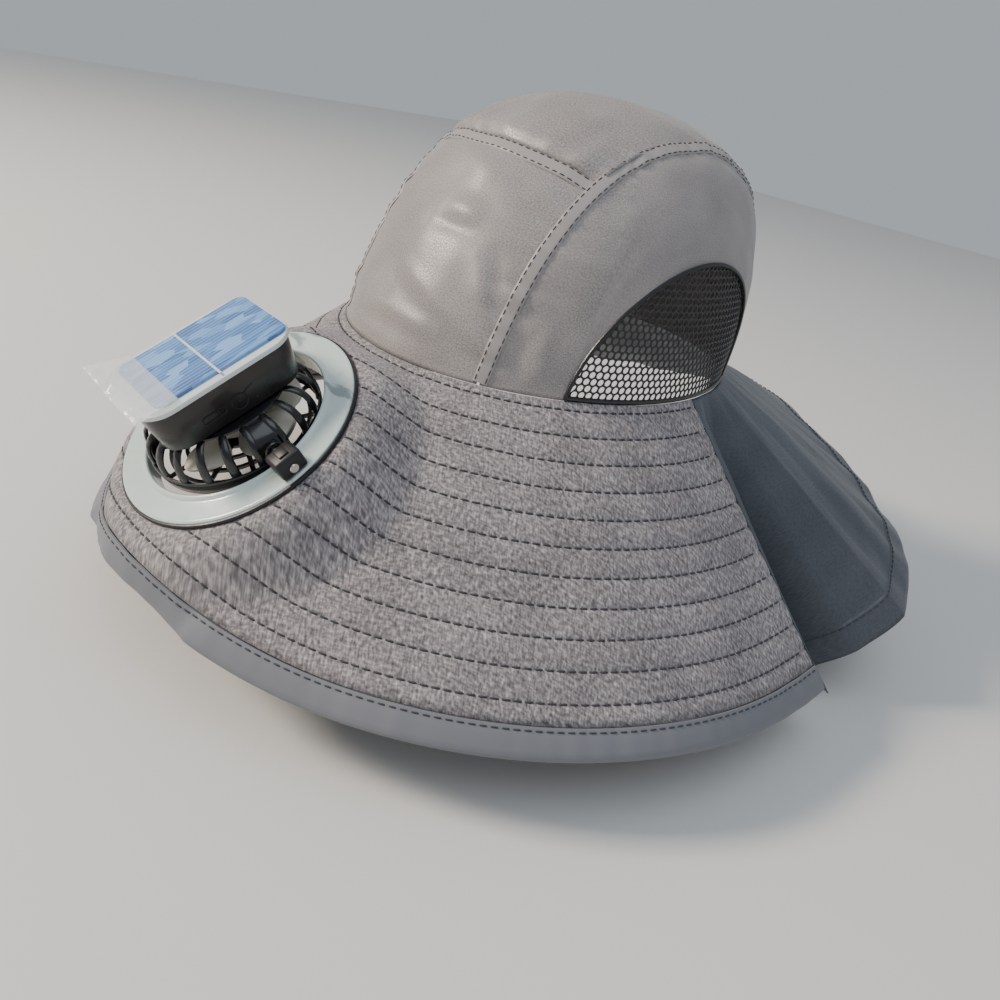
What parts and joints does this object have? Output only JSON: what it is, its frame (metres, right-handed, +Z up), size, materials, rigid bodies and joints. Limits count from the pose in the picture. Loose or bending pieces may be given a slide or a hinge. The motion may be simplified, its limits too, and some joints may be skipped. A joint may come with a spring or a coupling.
{
  "type": "solar fan hat",
  "caption": "Wide-brimmed cloth sun hat with net vents, a neck flap and a tilting solar-powered fan clamped in the front of the brim.",
  "frame": {"origin": "centre of the head opening, in the plane of the seam between crown and brim", "axes": "+Z up through the crown, -Y to the front over the fan, +X to the wearer's left"},
  "size_m": [0.3816, 0.4465, 0.2371],
  "materials": {
    "nylon": "shiny woven nylon",
    "net": "glossy knitted net",
    "brim_cloth": "matte heather weave, stitched",
    "binding": "folded tape",
    "flap_cloth": "light woven nylon",
    "ring_plastic": "gloss",
    "black_plastic": "gloss",
    "box_plastic": "matte moulded",
    "rotor_plastic": "satin",
    "rim_plastic": "satin",
    "cell": "glossy laminate over silicon",
    "steel": "plated"
  },
  "bodies": {
    "hat": {"crown_front_panel": "nylon", "crown_top_panel": "nylon", "crown_side_left": "nylon", "crown_side_right": "nylon", "mesh_left": "net", "mesh_right": "net", "brim": "brim_cloth", "brim_binding": "binding", "neck_flap": "flap_cloth", "fan_ring": "ring_plastic", "pivot_block_left": "black_plastic", "pivot_block_right": "black_plastic"},
    "fan_unit": {"fan_cage": "black_plastic", "fan_motor": "black_plastic", "solar_housing": "box_plastic", "solar_rim": "rim_plastic", "solar_panel": "cell", "usb_port": "steel"},
    "rotor": {"fan_rotor": "rotor_plastic"}
  },
  "joints": [
    {"name": "fan_tilt", "type": "hinge", "parent": "hat", "child": "fan_unit", "pos_m": [0, -0.1632, -0.0241], "axis": [1, 0, 0], "range_deg": [-10, 20]},
    {"name": "fan_spin", "type": "hinge", "parent": "fan_unit", "child": "rotor", "pos_m": [0, -0.1632, -0.0241], "axis": [0, -0.497, 0.8678], "continuous": true}
  ]
}
